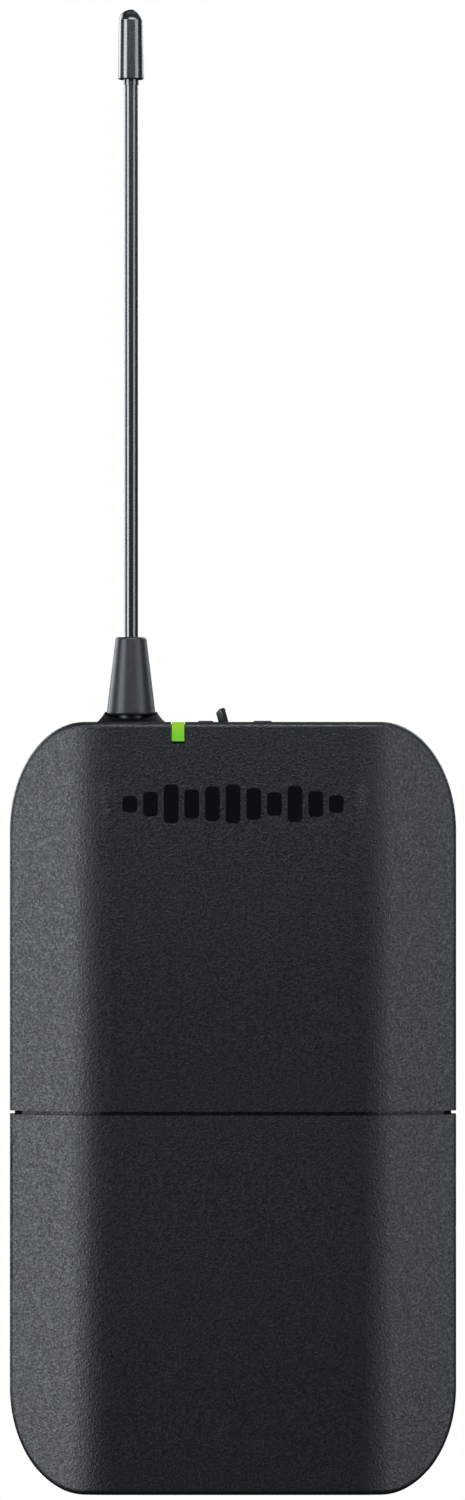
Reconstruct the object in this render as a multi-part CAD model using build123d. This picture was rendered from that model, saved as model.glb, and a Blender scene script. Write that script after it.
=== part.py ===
from build123d import *
from math import asin, cos, degrees, pi, radians, sin, sqrt, tan
import os

# Wireless bodypack transmitter: a pocket-sized plastic housing on two AA cells, with a whip antenna,
# a toggle, a channel button and a mini microphone socket on top, and a wire belt clip behind.
# Millimetres. X is the width, Y the depth (front is -Y, belt side is +Y), Z is up.
# The origin is the centre of the bottom face.

os.makedirs("parts", exist_ok=True)

# Housing
body_width = 64.0
body_height = 110.5
body_depth = 21.0
corner_width = 10.8          # elliptical corners seen from the front
corner_top = 15.6
corner_bottom = 15.1
wall = 1.6
side_width = 11.2            # slanted side, seen from the front
side_slant = 27.0            # degrees
side_blend = 14.0
crown_radius = 1100.0        # each front shell bows gently along Z
rim_round = 0.8
parting_y = 1.0              # front edge of the rear case
parting_gap = 0.15
rear_inset = 0.6             # the rear case is this much narrower all round
rear_round = 4.0
door_height = 54.25
seam_gap = 0.55
lip_wall = 1.0               # lap joint between cover and door
lip_gap = 0.15
lip_overlap = 1.75
bulkhead = 1.4               # wall between the electronics and the cells

# Battery door hinge
hinge_setback = 0.4          # hinge axis ahead of the parting plane
barrel_r = 1.3
hinge_pin_r = 0.5
running_gap = 0.05
barrel_half = 14.0
ear_length = 5.8
ear_gap = 0.2
sweep_gap = 0.2

# Door latches
latch_drop = 7.75            # latch middle below the top of the door
latch_height = 9.0
latch_front = 1.99           # latch behind the edge of the slanted side
latch_rear = 0.45            # latch ahead of the parting plane
latch_gap = 0.15
latch_flange = 0.8           # above and below the pad
latch_lip = 0.4              # in front of and behind it
latch_body = 1.7
latch_arm = 0.8
hook_gap = 0.1
spring_post = 1.0            # post on the door behind each latch spring
spring_coil_r = 1.1
spring_length = 3.2

# AA cells and their tray
cell_r = 7.1
cell_length = 49.2
nub_r = 2.75
nub_height = 1.0
cell_gap = 0.15
cell_rib = 2.2               # between the two cells
tray_wall = 1.6
tray_back = 1.05
tray_front = 2.6             # tray front ahead of the cell axis
tray_z = 2.8
tray_floor = 0.8
contact = 0.3
spring_height = 1.8
pad_gap = 0.37               # between the foam pad and the cells

# Housing screws
screw_inset = 7.5
screw_low = 4.8              # above the bulkhead
screw_high = 12.5            # below the top edge
screw_r = 1.2
screw_head_r = 1.9
screw_head = 1.3
screw_gap = 0.1
boss_wall = 1.5

# Top panel
panel_end = 0.8              # panel opening short of the rounded corners
panel_front_edge = 2.3
panel_rear_edge = 3.3
panel_gap = 0.1
panel_drop = 0.3             # panel surface below the top edge of the front cover
panel_plate = 1.6
panel_rim = 0.9
tab_thickness = 1.0
tab_reach = 0.9
tab_half = 5.5
ledge = 0.5

# Power toggle
toggle_setback = 5.9         # toggle axis behind the front face
toggle_pivot_drop = 5.1      # pivot below the top edge
toggle_rise = 1.9            # tip above the top edge
toggle_lean = 15.0
toggle_width = 1.4
toggle_depth = 2.0
trunnion_r = 0.45
switch_half = 3.2
switch_wall = 0.7
switch_height = 2.4
guard_rise = 0.17
guard_left = (-5.05, -2.8)
guard_right = (2.87, 5.6)
guard_depth = 3.4

# Status light
light_x = -7.86
light_width = 1.77
light_height = 2.65
light_slot = 0.45            # dark gap under the light pipe
light_gap = 0.12
light_reach = 4.9            # light pipe from the front face to its rear end
light_leg = 1.6
led_height = 0.8

# Channel display, button and gain trimmer
window_x = (-8.8, -3.4)
window_y = (0.0, 6.4)
window_thickness = 0.9
display_height = 3.3
button_x = -0.4
button_y = 3.2
button_r = 1.8
button_gap = 0.25
button_flange = 0.6
button_sink = 0.15
plunger_r = 1.0
tact_half = 2.2
tact_height = 1.4
trimmer_x = 4.6
trimmer_r = 1.7
trimmer_gap = 0.15
trimmer_shaft_r = 1.0
pot_half = 1.9
pot_height = 2.4

# Microphone socket
socket_inset = 7.2           # socket axis from the panel end
top_y = -0.5                 # the socket and the antenna share this line
socket_r = 4.45
socket_wall = 0.5
socket_flange = 0.75
socket_flange_height = 0.8
socket_depth = 12.4
groove_drop = 3.2
groove_height = 1.0
groove_cut = 0.3
contact_pins = 4
pin_r = 0.5
pin_circle_r = 2.2
pin_height = 6.0
insert_height = 2.5
nut_wall = 1.0
nut_height = 2.9

# Antenna
antenna_inset = 5.75         # antenna axis from the panel end
whip_r = 1.0
antenna_height = 102.4       # above the top edge
cap_length = 10.1
cap_top_r = 1.75
cap_base_r = 1.865
cap_dome = 1.5
cap_sleeve_r = 1.12
cap_sleeve = 0.75
boot_rise = 12.2
boot_top_r = 2.2
boot_base_rise = 0.95
boot_base_r = 3.55
boot_stem_r = 2.4
boot_barb_r = 3.0
boot_barb = 1.5
collar_r = 4.85
collar_rise = 1.45
collar_front_rise = 0.45
fit_gap = 0.02
ferrule_r = 1.9
ferrule_length = 5.0

# Boards
board = 1.2
control_board_drop = 7.1     # below the top edge
control_left = -9.5
control_gap = 0.25           # board edge to the socket shell
control_edge = 0.8           # in from the panel opening, front and rear
post_r = 1.5
post_places = ((6.2, -5.4), (-5.4, -3.2))
main_side = 4.5              # board edge in from the housing screws
main_gap = 0.65              # board behind the socket shell
main_lift = 1.0              # above the bulkhead
main_top_gap = 0.6
main_screw_inset = 3.5
main_screw_edge = 4.0
small_screw_r = 0.8
small_head_r = 1.5
small_head = 0.9

# Belt clip
wire_r = 1.0
clip_pivot_drop = 22.5       # below the top edge
clip_pivot_out = 2.1         # behind the rear face
clip_half = 14.0
clip_drop = 50.0
lug_x = (17.0, 20.5)
lug_r = 2.1
lug_gap = 0.05
clip_clear = 0.3

# Rating label
label_half = 12.0
label_z = (8.0, 34.0)
label_recess = 0.3
label_thickness = 0.2
label_gap = 0.2

# Places worked out from the sizes
half_width = body_width / 2
face_half_width = half_width - side_width
front_y = -body_depth / 2
rear_y = body_depth / 2
rear_inner_y = rear_y - wall
edge_y = parting_y - parting_gap
top_z = body_height
cover_bottom = door_height + seam_gap
hinge_y = parting_y - hinge_setback
latch_z = door_height - latch_drop
side_edge_y = front_y + side_width * tan(radians(side_slant))
latch_width = edge_y - latch_rear - side_edge_y - latch_front
latch_y = edge_y - latch_rear - latch_width / 2
latch_seat = half_width - wall - 0.1
latch_inner = latch_seat - latch_body
post_face = latch_inner - spring_length
cell_x = cell_r + cell_rib / 2
cell_y = rear_inner_y - tray_back - cell_gap - cell_r
cell_floor = tray_z + tray_floor
bay_top = cell_floor + contact + spring_height + cell_length + nub_height + contact
bulkhead_z = bay_top + bulkhead + 0.2
screw_x = half_width - screw_inset
screw_z = (bulkhead_z + bulkhead + screw_low, top_z - screw_high)
panel_half = half_width - corner_width - panel_end
panel_front = front_y + panel_front_edge
panel_rear = rear_y - panel_rear_edge
panel_z = top_z - panel_drop
plate_z = panel_z - panel_plate
tab_top = top_z - rear_inset - wall - panel_gap
panel_bottom = tab_top - tab_thickness
toggle_y = front_y + toggle_setback
toggle_z = top_z - toggle_pivot_drop
light_rear = front_y + light_reach
socket_x = panel_half - socket_inset
socket_top = panel_z + 0.2
socket_bottom = socket_top - socket_depth
socket_outer = socket_r + socket_wall
nut_r = socket_outer + nut_wall
antenna_x = antenna_inset - panel_half
whip_tip_z = top_z + antenna_height
boot_top_z = top_z + boot_rise
boot_base_z = top_z + boot_base_rise
ferrule_top = plate_z + 0.9
ferrule_bottom = ferrule_top - ferrule_length
control_board_z = top_z - control_board_drop
control_y = (panel_front + control_edge, panel_rear - control_edge)
control_x = (control_left, socket_x - socket_outer - control_gap)
board_top = control_board_z + board
plunger_top = board_top + tact_height + 0.6
main_half = screw_x - main_side
main_y = top_y + socket_outer + main_gap
main_bottom = bulkhead_z + bulkhead + main_lift
main_top = control_board_z - main_top_gap
main_screw_x = main_half - main_screw_inset
clip_z = top_z - clip_pivot_drop
clip_y = rear_y + clip_pivot_out


def block(x, y, z):
    """Box between the limits given as (low, high) pairs."""
    middle = Pos((x[0] + x[1]) / 2, (y[0] + y[1]) / 2, (z[0] + z[1]) / 2)
    return middle * Box(x[1] - x[0], y[1] - y[0], z[1] - z[0])


def rod_x(x, y, z, radius):
    return Pos((x[0] + x[1]) / 2, y, z) * Rot(0, 90, 0) * Cylinder(radius, x[1] - x[0])


def rod_y(x, y, z, radius):
    return Pos(x, (y[0] + y[1]) / 2, z) * Rot(90, 0, 0) * Cylinder(radius, y[1] - y[0])


def rod_z(x, y, z, radius):
    return Pos(x, y, (z[0] + z[1]) / 2) * Cylinder(radius, z[1] - z[0])


def around(centre, half):
    return (centre - half, centre + half)


def across(side, a, b):
    """Limits between two distances from the middle, to the left (-1) or the right (1)."""
    return tuple(sorted((side * a, side * b)))


def prism_y(face, y):
    """Face drawn in X and Z, carried from y[0] to y[1]."""
    return Pos(0, y[1], 0) * extrude(Plane.XZ * face, amount=y[1] - y[0])


def turned(points_face, x, y):
    """Profile drawn as (radius, z), turned about the vertical line at x, y."""
    return Pos(x, y, 0) * revolve(Plane.XZ * points_face, axis=Axis.Z)


def save(shape, node):
    solids = shape.solids()
    export_step(solids[0] if len(solids) == 1 else Compound(children=list(solids)), f"parts/{node}.step")


def outline(inset, base):
    """Front view of the housing, drawn in by inset, with its bottom edge at z = base."""
    flat = half_width - corner_width
    side = half_width - inset
    across = corner_width - inset
    up = top_z - corner_top
    edges = [
        Line((-flat, base), (flat, base)),
        EllipticalCenterArc((flat, corner_bottom), across, corner_bottom - base, 270, arc_size=90),
        Line((side, corner_bottom), (side, up)),
        EllipticalCenterArc((flat, up), across, corner_top - inset, 0, arc_size=90),
        Line((flat, top_z - inset), (-flat, top_z - inset)),
        EllipticalCenterArc((-flat, up), across, corner_top - inset, 90, arc_size=90),
        Line((-side, up), (-side, corner_bottom)),
        EllipticalCenterArc((-flat, corner_bottom), across, corner_bottom - base, 180, arc_size=90),
    ]
    return make_face(Wire(edges))


def front_section(inset):
    """Cross-section of the front shells: a flat face between slanted sides that run past the outline."""
    slant = radians(side_slant)
    flat = face_half_width - inset * tan(slant / 2)
    side = half_width + wall
    front = front_y + inset
    shoulder = front + (side - flat) * tan(slant)
    back = parting_y + 3 * wall
    points = [(-flat, front), (flat, front), (side, shoulder), (side, back), (-side, back), (-side, shoulder)]
    face = make_face(Polyline(*points, close=True))
    return fillet([v for v in face.vertices() if abs(v.Y - front) < 1e-6], side_blend - inset)


def crown_rise(z):
    """How far the ends of a crowned shell fall back behind its middle."""
    return crown_radius - sqrt(crown_radius ** 2 - ((z[1] - z[0]) / 2) ** 2)


def front_blank(z):
    """Solid front shell between two heights: the section bowed along Z, trimmed to the outline."""
    middle = (z[0] + z[1]) / 2
    half_turn = 1.2 * degrees(asin((z[1] - z[0]) / 2 / crown_radius))
    bow_axis = Axis((0, crown_radius + front_y, middle), (1, 0, 0))
    start = (Pos(0, 0, middle) * front_section(0)).rotate(bow_axis, -half_turn)
    bowed = revolve(start, axis=bow_axis, revolution_arc=2 * half_turn)
    trimmed = prism_y(outline(0, 0), (2 * front_y, edge_y)) & bowed
    return trimmed & block(around(0, body_width), around(0, body_depth), z)


def on_rim(edge, rim):
    """True for the front edges that follow the outline, short of the parting plane."""
    places = [edge.position_at(t) for t in (0, 0.1, 0.5, 0.9, 1)]
    return all(p.Y < edge_y - 1e-3 and rim.distance_to(Vertex(p.X, 0, p.Z)) < 1e-3 for p in places)


def front_shell(z):
    blank = front_blank(z)
    rim = (Plane.XZ * outline(0, 0)).face().outer_wire()
    return fillet([e for e in blank.edges() if on_rim(e, rim)], rim_round)


def front_cavity(z, inset, rise):
    """Space inside a front shell, inset from its skin."""
    along = Pos(0, rise, z[0]) * extrude(front_section(inset), amount=z[1] - z[0])
    return along & prism_y(outline(inset, inset), (front_y, parting_y + 2 * wall))


# Front cover: crowned shell with the lap lip, the bulkhead and four screw bosses.
def front_cover():
    z = (cover_bottom, top_z)
    rise = crown_rise(z)
    blank = front_shell(z)
    inside = front_cavity((cover_bottom - 1, top_z), wall, rise)
    cover = blank - inside
    cover += blank & block((-half_width, half_width), (front_y, edge_y), (bulkhead_z, bulkhead_z + bulkhead))
    for side in (-1, 1):
        for height in screw_z:
            cover += blank & rod_y(side * screw_x, (front_y, edge_y), height, screw_r + boss_wall)
    door_rise = crown_rise((0, door_height))
    lip_z = (cover_bottom - seam_gap - lip_overlap, cover_bottom + 0.4)
    root_z = (cover_bottom, cover_bottom + 2.0)
    core = front_cavity((lip_z[0] - 1, root_z[1] + 1), wall + lip_gap + lip_wall, door_rise)
    lip = front_cavity(lip_z, wall + lip_gap, door_rise) + front_cavity(root_z, wall - 0.2, rise)
    keep = block((-half_width, half_width), (front_y, edge_y - lip_gap), (lip_z[0], root_z[1]))
    cover += (lip - core) & keep
    for side in (-1, 1):
        for height in screw_z:
            cover -= rod_y(side * screw_x, (front_y + 3.2 + wall, parting_y), height, screw_r + fit_gap)
    cover -= block(around(0, panel_half), (panel_front, rear_y), (panel_bottom - 0.1, top_z + 1))
    notch_width = light_width + 2 * light_gap
    notch_depth = light_height + light_slot
    notch = Pos(light_x, top_z) * RectangleRounded(notch_width, 2 * notch_depth, 0.4)
    return cover - prism_y(notch, (front_y - 1, panel_front + 0.1))


# Rear case: tray-shaped moulding that carries the boards, the cells, the hinge ears and the clip lugs.
def rear_case():
    blank = prism_y(outline(rear_inset, 0), (parting_y, rear_y))
    blank = fillet(blank.faces().sort_by(Axis.Y)[-1].edges(), rear_round)
    inside = prism_y(outline(rear_inset + wall, wall), (parting_y - 1, rear_inner_y))
    inside = fillet(inside.faces().sort_by(Axis.Y)[-1].edges(), rear_round - wall)
    case = blank - inside
    case += blank & block((-half_width, half_width), (parting_y, rear_y), (bulkhead_z, bulkhead_z + bulkhead))
    tongue = prism_y(outline(wall + lip_gap, wall), (edge_y - wall, parting_y + wall))
    tongue -= prism_y(outline(wall + lip_gap + lip_wall, wall), (front_y, rear_y))
    tongue &= block(around(0, half_width), (front_y, rear_y), (bulkhead_z + bulkhead + lip_gap, top_z))
    tab_room = panel_half + tab_reach + lip_gap
    case += tongue - block(around(0, tab_room), (front_y, rear_y), (panel_bottom - 1, top_z))
    for side in (-1, 1):
        for height in screw_z:
            case += blank & rod_y(side * screw_x, (parting_y, rear_y), height, screw_r + boss_wall)
    for x, z in main_board_holes():
        case += rod_y(x, (main_y + board, rear_y - wall / 2), z, 2.2)
    for low, high in (lug_x, (-lug_x[1], -lug_x[0])):
        foot = block((low, high), (rear_y - wall / 2, clip_y), around(clip_z, lug_r))
        case += foot + rod_x((low, high), clip_y, clip_z, lug_r)
    case -= block(around(0, panel_half), (parting_y - 3, panel_rear), (top_z - 3 * wall, top_z))
    case -= hinge_sweep()
    for side in (-1, 1):
        ear = ear_span(side)
        case += rod_x(ear, hinge_y, barrel_r, barrel_r)
        case += block(ear, (hinge_y, hinge_y + barrel_r + 2 * wall), (barrel_r, 2 * barrel_r))
        case -= rod_x(ear, hinge_y, barrel_r, hinge_pin_r + fit_gap)
        for height in screw_z:
            case -= rod_y(side * screw_x, (front_y, rear_y), height, screw_r + screw_gap)
            case -= rod_y(side * screw_x, (rear_y - screw_head - 0.2, rear_y + 1), height, screw_head_r + 0.2)
    for x, z in main_board_holes():
        case -= rod_y(x, (main_y, rear_y - wall), z, small_screw_r + fit_gap)
    for low, high in (lug_x, (-lug_x[1], -lug_x[0])):
        case -= rod_x((low - 1, high + 1), clip_y, clip_z, wire_r + lug_gap)
    label_seat = block(around(0, label_half + label_gap), (rear_y - label_recess, rear_y + 1),
                       (label_z[0] - label_gap, label_z[1] + label_gap))
    case -= fillet(label_seat.edges().filter_by(Axis.Y), 1.5)
    return case - latch_pockets()


def hinge_sweep():
    """Room behind the door's lower edge, round the hinge, for the door to swing."""
    reach = half_width - corner_width + 5.8
    behind = barrel_r + sweep_gap
    room = rod_x((-reach, reach), hinge_y, barrel_r, behind)
    return room + block((-reach, reach), (parting_y - 1, hinge_y + behind), (-1, barrel_r))


def ear_span(side):
    inner = barrel_half + ear_gap
    return across(side, inner, inner + ear_length)


def main_board_holes():
    low = main_bottom + main_screw_edge
    high = main_top - main_screw_edge
    return [(side * main_screw_x, z) for side in (-1, 1) for z in (low, high)]


def latch_pockets():
    """Relief in the rear case's side walls for the latch hooks."""
    inner = half_width - rear_inset - wall
    y = (parting_y + 0.6, parting_y + 2.3)
    z = around(latch_z, latch_height / 2 - 1)
    return block((inner - 1, inner + wall / 2), y, z) + block((-inner - wall / 2, 1 - inner), y, z)


# Battery door: crowned shell with the hinge barrel, latch windows and spring posts.
def battery_door():
    z = (0.0, door_height)
    rise = crown_rise(z)
    blank = front_shell(z)
    door = blank - front_cavity((0, door_height + 1), wall, rise)
    door += rod_x((-barrel_half, barrel_half), hinge_y, barrel_r, barrel_r)
    floor_reach = half_width - corner_width + 5.8
    below = block((-floor_reach, floor_reach), (hinge_y, parting_y), (-1, barrel_r))
    barrel_zone = rod_x((-floor_reach, floor_reach), hinge_y, barrel_r, barrel_r)
    door -= below - barrel_zone
    for side in (-1, 1):
        ear = ear_span(side)
        clear = (ear[0] - ear_gap, ear[1] + ear_gap)
        door -= rod_x(clear, hinge_y, barrel_r, barrel_r + sweep_gap)
        door -= block(clear, (hinge_y - barrel_r / 2, parting_y), (-1, 3 * barrel_r))
        post = across(side, post_face - spring_post, post_face)
        door += blank & block(post, (front_y, latch_y + spring_coil_r), around(latch_z, 2.0))
        window_half = latch_width / 2 + latch_gap
        door -= block(across(side, half_width - wall - 0.5, half_width + 1), around(latch_y, window_half),
                      around(latch_z, latch_height / 2 + latch_gap))
    return door - rod_x((-half_width, half_width), hinge_y, barrel_r, hinge_pin_r + running_gap)


# Door latch: a finger pad in the door's side wall, a flange behind the wall and a hook for the case.
def door_latch(side):
    skin = half_width - 0.05
    half = latch_height / 2
    pad = block(across(side, latch_inner, skin), around(latch_y, latch_width / 2), around(latch_z, half))
    pad = fillet(pad.edges().filter_by(Axis.X), 0.6)
    for step in range(-3, 4):
        pad -= block(across(side, skin - 0.3, skin + 1), around(latch_y, latch_width),
                     around(latch_z + step * 1.1, 0.25))
    pad += block(across(side, latch_inner, latch_seat), around(latch_y, latch_width / 2 + latch_lip),
                 around(latch_z, half + latch_flange))
    hook_tip = half_width - rear_inset - wall - hook_gap
    hook_z = around(latch_z, half - 1.7)
    pad += block(across(side, latch_inner, latch_inner + latch_arm), (latch_y, parting_y + 2.0), hook_z)
    return pad + block(across(side, latch_inner, hook_tip), (parting_y + 0.9, parting_y + 2.0), hook_z)


def latch_spring(side):
    x = across(side, post_face, latch_inner)
    return rod_x(x, latch_y, latch_z, spring_coil_r) - rod_x(x, latch_y, latch_z, spring_coil_r - 0.3)


# Cells stand side by side, one each way up, in a moulded tray with sprung contacts.
def battery_tray():
    half = cell_x + cell_r + cell_gap + tray_wall
    tray = block((-half, half), (cell_y - tray_front, rear_inner_y), (tray_z, bay_top + bulkhead))
    tray = fillet(tray.edges().filter_by(Axis.X).group_by(Axis.Z)[0].sort_by(Axis.Y)[-1], rear_round - wall)
    for side in (-1, 1):
        tray -= rod_z(side * cell_x, cell_y, (cell_floor, bay_top), cell_r + cell_gap)
        tray -= block(around(side * cell_x, 4.0), (front_y, cell_y), (bay_top - 1, bay_top))
    tray -= block(around(0, cell_x), (front_y, cell_y + 4.5), (cell_floor, cell_floor + contact + 0.1))
    return tray


def cell(side):
    """AA cell: the left one has its nub up, the right one has it down."""
    if side < 0:
        low = cell_floor + contact + spring_height
        nub = (low + cell_length, low + cell_length + nub_height)
    else:
        low = cell_floor + contact + nub_height
        nub = (cell_floor + contact, low)
    can = rod_z(side * cell_x, cell_y, (low, low + cell_length), cell_r)
    can = fillet(can.edges(), 0.6)
    return can + rod_z(side * cell_x, cell_y, nub, nub_r)


def cell_spring(side):
    """Cone-shaped coil, drawn as a thin cone, pressed against the flat end of its cell."""
    if side < 0:
        wide, narrow = cell_floor + contact, cell_floor + contact + spring_height
    else:
        wide, narrow = bay_top - contact, bay_top - contact - spring_height
    profile = make_face(Polyline((3.3, wide), (1.9, narrow), (1.4, narrow), (2.8, wide), close=True))
    return turned(profile, side * cell_x, cell_y)


def contact_bridge():
    reach = cell_x + 4.0
    return block((-reach, reach), around(cell_y, 4.0), (cell_floor, cell_floor + contact))


def contact_plates():
    plates = [block(around(side * cell_x, 4.0), around(cell_y, 4.0), (bay_top - contact, bay_top))
              for side in (-1, 1)]
    return plates[0] + plates[1]


def door_pad():
    """Foam strip inside the door that keeps the cells from rattling."""
    back = front_y + crown_rise((0, door_height)) + wall
    pad = block((-15.0, 15.0), (back, cell_y - cell_r - pad_gap), (14.0, 46.0))
    return fillet(pad.edges().filter_by(Axis.Y), 2.0)


# Top panel: seats between cover and case, and carries every control.
def top_panel():
    bottom = panel_bottom
    half = panel_half - panel_gap
    y = (panel_front + panel_gap, panel_rear - panel_gap)
    panel = block((-half, half), y, (bottom, panel_z))
    panel -= block(around(0, half - panel_rim), (y[0] + panel_rim, y[1] - panel_rim), (bottom, plate_z))
    tabs = block(around(0, half + tab_reach), around(top_y, tab_half), (bottom, tab_top))
    panel += tabs - block(around(0, half - panel_rim), (y[0], y[1]), (bottom, plate_z))
    for x, place_y in post_places:
        panel += rod_z(x, place_y, (board_top, plate_z + 0.2), post_r)
        panel -= rod_z(x, place_y, (board_top, plate_z - 0.6), small_screw_r + fit_gap)
    for low, high in (guard_left, guard_right):
        guard = block((low, high), around(toggle_y, guard_depth / 2), (plate_z + 0.5, top_z + guard_rise))
        panel += fillet(guard.faces().sort_by(Axis.Z)[-1].edges(), 0.25)
    swing = (panel_z - toggle_z) * tan(radians(toggle_lean)) + toggle_width / 2 + 0.3
    panel -= block(around(0, swing), around(toggle_y, toggle_depth / 2 + 0.25), (bottom, top_z))
    light_slot_x = around(light_x, light_width / 2 + light_gap)
    slot_rear = light_rear + light_gap
    slot_floor = top_z - light_height - light_gap
    panel -= block(light_slot_x, (panel_front - 1, slot_rear), (slot_floor, top_z))
    panel -= block(light_slot_x, (slot_rear - light_leg - 2 * light_gap, slot_rear), (bottom, top_z))
    panel -= rod_z(antenna_x, top_y, (bottom, top_z), boot_stem_r + panel_gap)
    panel -= rod_z(socket_x, top_y, (bottom, top_z), socket_outer + panel_gap)
    panel -= rod_z(socket_x, top_y, (bottom, plate_z), nut_r + panel_gap)
    sunk = socket_flange_height - 0.2
    panel -= rod_z(socket_x, top_y, (panel_z - sunk, top_z), socket_outer + socket_flange + 0.1)
    panel -= rod_z(button_x, button_y, (bottom, top_z), button_r + button_gap)
    panel -= rod_z(trimmer_x, button_y, (bottom, top_z), trimmer_r + trimmer_gap)
    panel -= block(window_x, window_y, (panel_z - window_thickness, top_z))
    panel -= block((window_x[0] + ledge, window_x[1] - ledge), (window_y[0] + ledge, window_y[1] - ledge),
                   (bottom, top_z))
    return panel


# Power toggle: paddle lever on two trunnions inside a small switch body.
def power_switch_lever():
    length = (toggle_pivot_drop + toggle_rise) / cos(radians(toggle_lean))
    half = toggle_width / 2
    deep = toggle_depth / 2
    front = make_face(Polyline((-half, 0), (half, 0), (half, length - 0.15), (half - 0.2, length),
                               (-0.1, length), (-half, length - 0.45), close=True))
    ridged = make_face(Polyline((-half, 0.5 - deep), (0.15, -deep), (half, 0.45 - deep), (half, deep),
                                (-half, deep), close=True))
    lever = prism_y(front, (-deep, deep)) & extrude(ridged, amount=length)
    lever += rod_y(0, (-deep, deep), 0, half)
    lever += rod_y(0, around(0, deep + 0.4 + switch_wall - 0.1), 0, trunnion_r)
    return Pos(0, toggle_y, toggle_z) * Rot(0, -toggle_lean, 0) * lever


def power_switch_body():
    pocket_y = toggle_depth / 2 + 0.4
    y = around(toggle_y, pocket_y + switch_wall)
    body = block(around(0, switch_half), y, (board_top, board_top + switch_height))
    body -= block(around(0, switch_half - switch_wall), around(toggle_y, pocket_y),
                  (board_top + 0.05, board_top + switch_height))
    body -= rod_y(0, y, toggle_z, trunnion_r + running_gap)
    return body


# Status light: a light pipe that shows in the front edge, over an LED on the control board.
def status_light_pipe():
    x = around(light_x, light_width / 2)
    face_y = front_y + crown_rise((cover_bottom, top_z)) + 0.02
    top = top_z - 0.03
    bar = block(x, (face_y, light_rear), (top_z - light_height, top))
    front_top = bar.edges().filter_by(Axis.X).group_by(Axis.Z)[-1].sort_by(Axis.Y)[0]
    bar = fillet(front_top, rim_round)
    leg = block(x, (light_rear - light_leg, light_rear), (board_top + led_height + 0.2, top_z - light_height))
    return bar + leg


def status_led():
    y = around(light_rear - light_leg / 2, 0.8)
    return block(around(light_x, 0.8), y, (board_top, board_top + led_height))


def display_window():
    gap = 0.05
    x = (window_x[0] + gap, window_x[1] - gap)
    y = (window_y[0] + gap, window_y[1] - gap)
    return block(x, y, (panel_z - window_thickness, panel_z - 0.05))


def digit_display():
    x = (window_x[0] + ledge, window_x[1] - ledge)
    y = (window_y[0] + ledge, window_y[1] - ledge)
    return block(x, y, (board_top, board_top + display_height))


# Channel button: a cap with a flange under the panel, on the plunger of a tact switch.
def channel_button():
    flange_top = plate_z - 0.1
    cap = rod_z(button_x, button_y, (flange_top - 0.2, panel_z - button_sink), button_r)
    cap = fillet(cap.edges().sort_by(Axis.Z)[-1], 0.35)
    flange_r = button_r + button_gap + button_flange
    flange = rod_z(button_x, button_y, (flange_top - 1.0, flange_top), flange_r)
    stem = rod_z(button_x, button_y, (plunger_top, flange_top - 0.9), plunger_r)
    return cap + flange + stem


def tact_plunger():
    return rod_z(button_x, button_y, (board_top + tact_height - 0.7, plunger_top), plunger_r)


def channel_tact_switch():
    height = (board_top, board_top + tact_height)
    body = block(around(button_x, tact_half), around(button_y, tact_half), height)
    well = rod_z(button_x, button_y, (board_top + 0.3, height[1]), plunger_r + running_gap)
    return body - well


# Gain trimmer: a slotted dial on a small potentiometer.
def gain_trimmer_dial():
    top = panel_z - 0.3
    dial = rod_z(trimmer_x, button_y, (board_top + pot_height + 0.1, top), trimmer_r)
    dial -= block(around(trimmer_x, 0.25), around(button_y, 2 * trimmer_r), (top - 0.6, top))
    return dial + rod_z(trimmer_x, button_y, (board_top + 0.5, top - 1.5), trimmer_shaft_r)


def gain_pot_body():
    body = block(around(trimmer_x, pot_half), around(button_y, pot_half), (board_top, board_top + pot_height))
    shaft_z = (board_top + 0.4, board_top + pot_height)
    return body - rod_z(trimmer_x, button_y, shaft_z, trimmer_shaft_r + running_gap)


# Microphone socket: turned shell with a latch groove, a pin insert and a ring nut under the panel.
def connector_shell():
    shell = rod_z(socket_x, top_y, (socket_bottom, socket_top), socket_outer)
    flange_z = (socket_top - socket_flange_height, socket_top)
    shell += rod_z(socket_x, top_y, flange_z, socket_outer + socket_flange)
    shell -= rod_z(socket_x, top_y, (socket_bottom, socket_top), socket_r)
    groove = socket_top - groove_drop
    shell -= rod_z(socket_x, top_y, (groove - groove_height, groove), socket_r + groove_cut)
    rim = shell.edges().filter_by(GeomType.CIRCLE).group_by(Axis.Z)[-1].sort_by(SortBy.RADIUS)[-1]
    return chamfer(rim, 0.3)


def pin_places():
    angles = [pi / contact_pins * (2 * k + 1) for k in range(contact_pins)]
    return [(socket_x + pin_circle_r * cos(a), top_y + pin_circle_r * sin(a)) for a in angles]


def connector_insert():
    top = socket_bottom + insert_height
    insert = rod_z(socket_x, top_y, (socket_bottom, top), socket_r - fit_gap)
    for x, y in pin_places():
        insert -= rod_z(x, y, (socket_bottom, top), pin_r + fit_gap)
    return insert


def connector_pins():
    low = socket_bottom - 1.5
    pins = []
    for x, y in pin_places():
        pin = rod_z(x, y, (low, socket_bottom + insert_height + pin_height), pin_r)
        pins.append(fillet(pin.edges().sort_by(Axis.Z)[-1], pin_r / 2))
    return Compound(children=pins)


def connector_nut():
    z = (plate_z - 0.05 - nut_height, plate_z - 0.05)
    nut = rod_z(socket_x, top_y, z, nut_r) - rod_z(socket_x, top_y, z, socket_outer + 0.05)
    for k in range(2):
        nut -= Pos(socket_x, top_y, z[0]) * Rot(0, 0, 90 * k) * Box(3 * nut_r, 1.2, 1.4)
    return nut


# Antenna: steel whip with a moulded tip, in a rubber boot that stands in a flared collar.
def antenna_whip():
    low = ferrule_bottom
    whip = rod_z(antenna_x, top_y, (low, whip_tip_z - 2.4), whip_r)
    return fillet(whip.edges().sort_by(Axis.Z)[-1], 0.4)


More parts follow.
